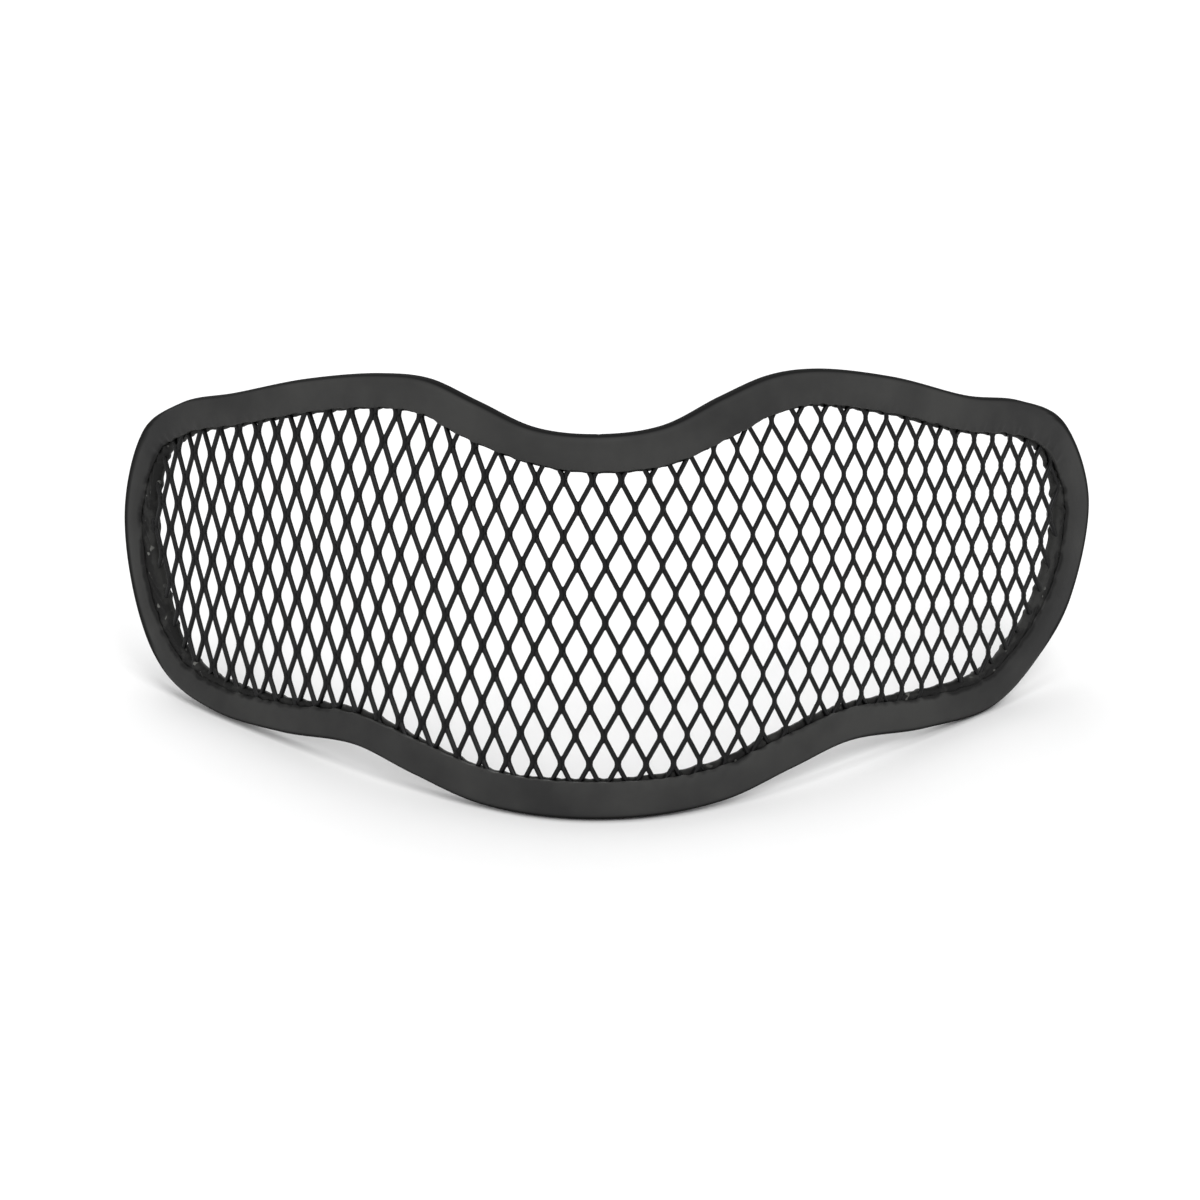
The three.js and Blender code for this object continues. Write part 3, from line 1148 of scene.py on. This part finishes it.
    def laid(self, sheet: GuardSheet, panel: MeshPanel) -> LaidStrip:
        """Lay the section round the edge.

        Each flap is stretched from the fold to its own reach at the station, the fold lies further
        out at the wing ends, and at the joint it has a small nick.

        Args:
            sheet: The sheet whose edge is bound.
            panel: The net under the flaps.

        Returns:
            The laid strip.
        """
        form, edge, skin = self.section(), sheet.edge_stations(self.stations), self.half_thickness
        front = self.grown(self.front, edge.front, edge, panel)
        back = self.grown(self.back, edge.back, edge, panel)
        front_edge, back_edge = self.front.reach + front, self.back.reach + back
        at_end = ease(np.abs(edge.places[:, :1]), self.wing_end)
        joint_distance = np.minimum(edge.travelled, edge.length - edge.travelled)
        nick = bell(joint_distance, self.joint_width)[:, None]
        at_fold = bell(form.inset, self.joint_round) * ~form.lining
        inward = np.clip((form.inset - skin) / (form.reach - skin), 0.0, 1.0)
        inset = form.inset + inward * np.where(form.out > 0, front, back)
        inset += self.joint_nick * nick * at_fold
        inset -= at_end * edge.by_half(self.end_stretch) * (1.0 - inward)
        ground = edge.places[:, None] + inset[..., None] * edge.inward[:, None]
        return LaidStrip(
            form=form,
            edge=edge,
            inward=inward,
            inset=inset,
            ground=ground,
            beyond=inset - front_edge,
            short=back_edge - inset,
            held=panel.support(ground[..., 0], ground[..., 1]),
            wide=ease(back_edge - front_edge, self.cover_gap),
            at_end=at_end,
            nick=nick,
        )

    def pressed(self, laid: LaidStrip) -> np.ndarray:
        """How far each point is pressed towards the sheet's middle, and through it.

        Between two strands the cut edges sink, and the linings below them meet and seal the
        opening. Where the back flap shows beyond the front one, its glued lining swells through the
        net and covers it, rough, and the front flap's cut edge is pressed down to it.

        Args:
            laid: The laid strip.

        Returns:
            (stations, points) distances in mm.
        """
        in_front, edge, unheld = laid.form.out > 0, laid.edge, 1.0 - laid.held**2
        at_cut = ease(laid.inward, self.sink_share)
        sealed = self.mouth * ease(laid.inward, self.mouth_share) * unheld
        bedded = between(sealed, self.bedded * at_cut, laid.wide)
        shown = laid.wide * ease(laid.beyond, self.cover_front) * ease(laid.short, self.cover_back)
        rough = self.rough.at(edge.travelled[:, None] + self.rough_slant * laid.inset, edge.length)
        swollen = shown * (between(*self.cover, laid.at_end) + rough)
        lining = np.where(in_front, bedded, np.maximum(sealed, swollen))
        skin = at_cut * between(self.sink * unheld, self.feathered, laid.wide * in_front)
        return np.where(laid.form.lining, lining, skin)

    def attributes(self, laid: LaidStrip) -> dict[str, np.ndarray]:
        """How much of each finish the points show, from 0 to 1.

        Args:
            laid: The laid strip.

        Returns:
            (stations, points) shares of the painted shade along the fold, the lining, the cut edge,
            and the painted shade and glue beside the front flap.
        """
        form, everywhere = laid.form, np.ones(laid.inset.shape)
        in_front, channel = form.out > 0, self.half_thickness - self.wall
        fold_shade_reach = between(*self.fold_shade_reach, laid.at_end * in_front)
        cut = (form.reach - form.inset < self.cut_width) & (np.abs(form.out) > channel)
        shade_smeared = ease(laid.beyond / laid.edge.by_half(self.shade_smear), self.shade_smear_fade)
        shade_smudged = ease(laid.beyond, (-self.shade_smudge, 0.0))
        return {
            # painted shade along the fold's outer edge, which also makes it duller
            "fold": ease(laid.inset - fold_shade_reach, self.fold_shade_fade) * ~form.lining,
            "lining": everywhere * form.lining,
            "cut": everywhere * cut,
            # painted shade beside and on the front flap's cut edge, in blotches that also stand for glue
            "glue_and_shade": laid.wide * shade_smeared * shade_smudged * (form.lining | in_front),
        }

    def dressed(self, sheet: GuardSheet, panel: MeshPanel) -> tuple[np.ndarray, dict[str, np.ndarray]]:
        """Carry the section round the edge and give it its hand-made detail.

        Outwards from the sheet the skin is domed, swells and is thicker at the wing ends; where the
        edge turns tightly, the inner part of the flaps gathers in waves.

        Args:
            sheet: The sheet whose edge is bound.
            panel: The net under the flaps.

        Returns:
            (stations, points, 3) upright places in mm, and the strip's attributes.
        """
        laid = self.laid(sheet, panel)
        form, edge = laid.form, laid.edge
        domed = self.dome * np.sin(np.pi * np.clip(form.inset / form.reach, 0.0, 1.0))
        swell = self.swell.at(edge.travelled, edge.length)[:, None] * laid.inward
        bulge = self.end_bulge * laid.at_end * np.abs(form.out) / self.half_thickness
        folds = np.maximum(self.gather.at(edge.travelled, edge.length), -self.gather_depth)
        gathered = (self.gathers(edge) * folds)[:, None] * ease(laid.inward, self.sink_share)
        proud = (domed + swell + bulge - self.joint_dip * laid.nick) * ~form.lining
        out = form.out + np.sign(form.out) * (proud + gathered - self.pressed(laid))
        return sheet.bent(laid.ground[..., 0], laid.ground[..., 1], out), self.attributes(laid)

    def build(
        self, sheet: GuardSheet, stance: Stance, panel: MeshPanel, finish: BlackLeatherette
    ) -> bpy.types.Object:
        """Make the piece, dress it, and let it stand for the CAD strip.

        Args:
            sheet: The sheet whose edge is bound.
            stance: The guard's stance.
            panel: The net under the flaps.
            finish: The strip's finish.

        Returns:
            The finished piece.
        """
        points, attributes = self.dressed(sheet, panel)
        stations, corners = points.shape[:2]
        number = np.arange(stations * corners).reshape(stations, corners)
        ahead, beside = np.roll(number, -1, 0), np.roll(number, -1, 1)
        quads = np.stack([number, ahead, np.roll(ahead, -1, 1), beside], axis=-1).reshape(-1, 4)
        piece = new_object("leatherette_binding", stance.place(points).reshape(-1, 3), quads.tolist())
        for name, values in attributes.items():
            layer = piece.data.attributes.new(name, "FLOAT", "POINT")
            layer.data.foreach_set("value", values.astype(np.float32).ravel())
        close_up(piece.data, self.weld * MM)
        piece.data.materials.append(finish.material())
        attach(piece, "root")
        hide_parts("edge_binding")
        return piece

    def flat_size(self, sheet: GuardSheet) -> tuple[float, float]:
        """Size of the strip before it is folded, with the fold measured along its middle layer.

        Args:
            sheet: The sheet whose edge is bound.

        Returns:
            Width and length in metres.
        """
        fold = math.pi * (self.half_thickness - self.wall / 2)
        width = self.front.reach + self.back.reach - 2 * self.half_thickness + fold
        return width * MM, sheet.edge_stations(self.stations).length * MM


# ---- The studio ---------------------------------------------------------------------------------


@dataclass(frozen=True)
class SoftBox:
    """Square soft light: where it hangs, in metres, how wide it is, and its power in watts."""

    name: str
    place: tuple[float, float, float]
    width: float
    power: float

    def hang(self, aim: Vector) -> None:
        """Hang the light and point it at a place.

        Args:
            aim: The place, in metres.
        """
        light = bpy.data.lights.new(self.name, "AREA")
        light.shape = "SQUARE"
        light.size = self.width
        light.energy = self.power
        lamp = bpy.data.objects.new(self.name, light)
        lamp.location = self.place
        lamp.rotation_euler = (aim - Vector(self.place)).to_track_quat("-Z", "Y").to_euler()
        bpy.context.scene.collection.objects.link(lamp)


@dataclass
class Studio:
    """Pale floor, soft boxes and the camera."""

    floor_width: float = 12.0
    surround: str = "#E2E2E2"
    surround_strength: float = 0.65
    boxes: tuple[SoftBox, ...] = (
        SoftBox("key", (0.45, -0.55, 1.05), 0.7, 6.0),
        SoftBox("fill", (-0.9, -0.8, 0.75), 0.8, 3.2),
        SoftBox("top", (0.0, 0.35, 1.3), 1.0, 6.2),
        SoftBox("back", (-0.25, 1.0, 0.65), 0.9, 6.0),
    )
    aim: tuple[float, float, float] = (0.0, -1.7, 35.35)  # upright place looked at, mm
    distance: float = 524.5  # mm
    above: float = 7.03  # degrees above the upright guard's level
    aside: float = 0.48  # degrees towards the right
    roll: float = -0.53  # degrees
    lens: float = 100.0
    sensor: float = 36.0

    def set_up(self, stance: Stance) -> None:
        """Lay the floor, light the guard and place the camera.

        Args:
            stance: The guard's stance, with which the camera's place is leant back too.
        """
        half = self.floor_width / 2
        corners = np.array([(-half, -half, 0), (half, -half, 0), (half, half, 0), (-half, half, 0)])
        floor = new_object("pale_floor", corners, [[0, 1, 2, 3]])
        floor.data.materials.append(PaleFloor().material())
        floor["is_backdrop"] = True
        world = bpy.data.worlds.new("surround")
        bpy.context.scene.world = world
        world.use_nodes = True
        background = world.node_tree.nodes["Background"]
        background.inputs["Color"].default_value = linear(self.surround)
        background.inputs["Strength"].default_value = self.surround_strength
        bpy.context.scene.view_settings.view_transform = "Standard"
        aim = Vector(stance.place(np.array(self.aim)))
        for box in self.boxes:
            box.hang(aim)
        self.place_camera(stance, aim)

    def place_camera(self, stance: Stance, aim: Vector) -> None:
        """Put the camera at its distance and angles from the upright guard, leant back with it.

        Args:
            stance: The guard's stance.
            aim: The place looked at, in metres.
        """
        above, aside = math.radians(self.above), math.radians(self.aside)
        away = np.array([
            math.cos(above) * math.sin(aside), -math.cos(above) * math.cos(aside), math.sin(above),
        ])
        camera = bpy.data.cameras.new("camera")
        camera.lens = self.lens
        camera.sensor_width = self.sensor
        camera.clip_end = 50.0
        view = bpy.data.objects.new("camera", camera)
        eye = Vector(stance.place(np.array(self.aim) + self.distance * away))
        look = (aim - eye).to_track_quat("-Z", "Y").to_matrix().to_4x4()
        roll = Matrix.Rotation(math.radians(self.roll), 4, "Z")
        view.matrix_world = Matrix.Translation(eye) @ look @ roll
        bpy.context.scene.collection.objects.link(view)
        bpy.context.scene.camera = view


def main() -> None:
    """Build the guard and its studio, and report each piece."""
    logging.basicConfig(level=logging.INFO, format="%(name)s: %(message)s")
    sheet = GuardSheet()
    panel = MeshPanel()
    binding = EdgeBinding()
    skin, _ = binding.dressed(sheet, panel)
    stance = Stance.of(skin.reshape(-1, 3))
    LOG.info("leans back by %.2f degrees", math.degrees(stance.lean))
    net = panel.build(sheet, stance, SatinBlackPaint())
    LOG.info("%s: %d faces", net.name, len(net.data.polygons))
    strip = binding.build(sheet, stance, panel, BlackLeatherette())
    flat = binding.flat_size(sheet)
    LOG.info("%s: %d faces", strip.name, len(strip.data.polygons))
    LOG.info("the strip is cut %.1f by %.0f mm", flat[0] / MM, flat[1] / MM)
    Studio().set_up(stance)
    boxes = {"cad": CAD_BOX, "visual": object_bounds()}
    for name, box in boxes.items():
        low, high = ([round(value / MM, 1) for value in corner] for corner in box)
        LOG.info("%s box: %s to %s mm", name, low, high)


if __name__ == "__main__":
    main()
